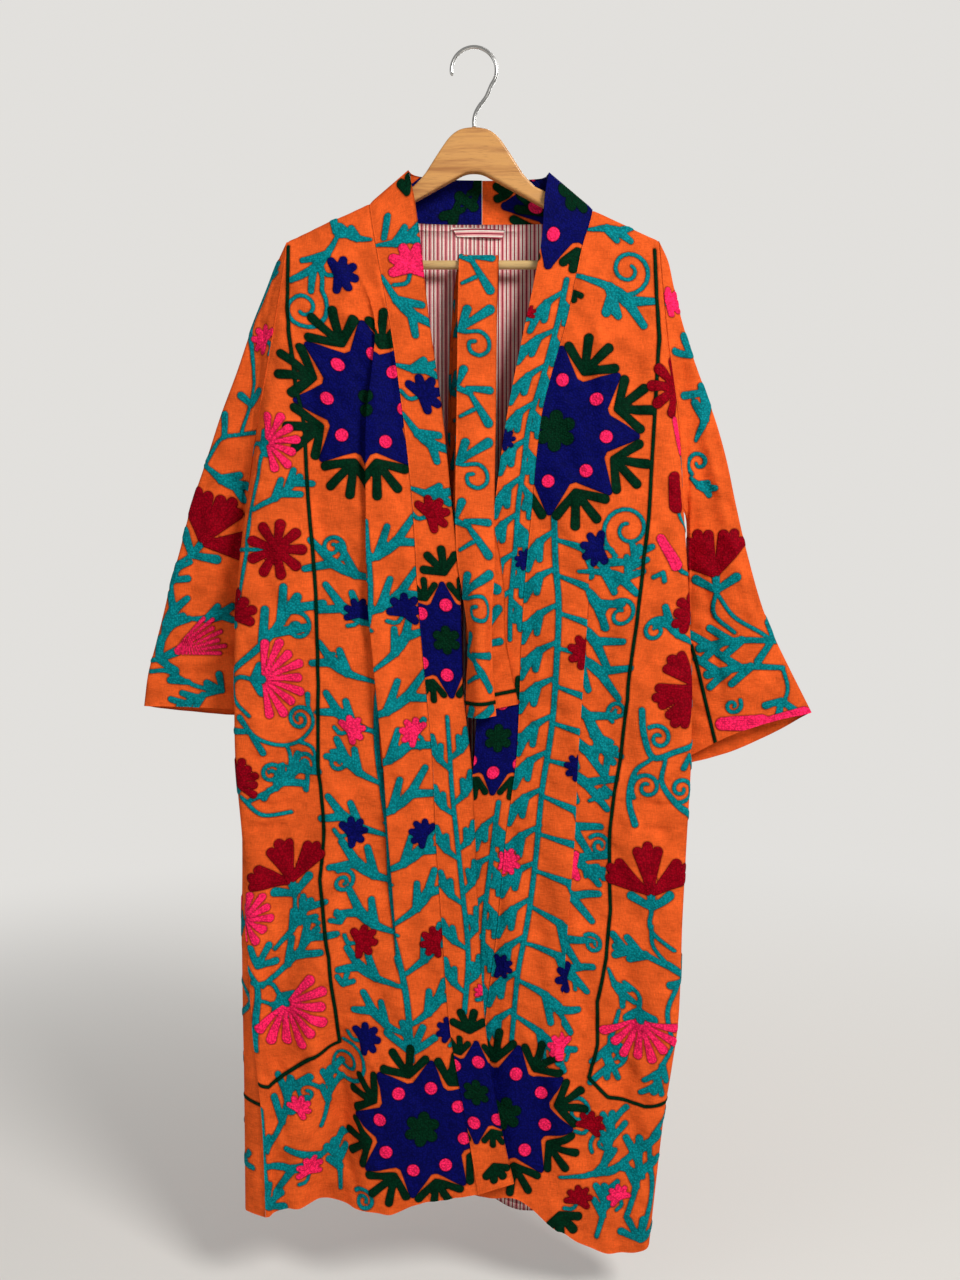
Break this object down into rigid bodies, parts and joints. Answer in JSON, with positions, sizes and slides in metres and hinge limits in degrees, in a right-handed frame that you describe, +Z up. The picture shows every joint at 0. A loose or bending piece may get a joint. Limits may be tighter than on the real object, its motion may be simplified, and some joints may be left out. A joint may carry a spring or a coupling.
{
  "type": "kimono on hanger",
  "caption": "Long open kimono robe with wide sleeves and a standing collar band, hung with its own belt on a wooden clothes hanger with a bar and a wire hook.",
  "frame": {"origin": "inside of the top of the hanger's hook, the point that the hanger hangs from", "axes": "+Z up, +X towards the wearer's left as the robe hangs, the front of the robe faces -Y"},
  "size_m": [0.7397, 0.0884, 1.3035],
  "materials": {
    "face_cloth": "plain-woven cotton, orange, embroidered in chain stitch",
    "lining": "woven cotton ticking, off-white with narrow rose stripes",
    "hanger_wood": "honey-coloured wood, clear lacquer",
    "hook_wire": "polished wire"
  },
  "bodies": {
    "root": {"front_right": "face_cloth", "front_left": "face_cloth", "back": "face_cloth", "sleeve_right": "face_cloth", "sleeve_left": "face_cloth", "collar_band_right": "face_cloth", "collar_band_left": "face_cloth", "lining_back": "lining", "hanging_loop": "lining", "belt": "face_cloth", "hanger_wood": "hanger_wood", "hanger_bar": "hanger_wood", "hanger_hook": "hook_wire"}
  },
  "joints": []
}
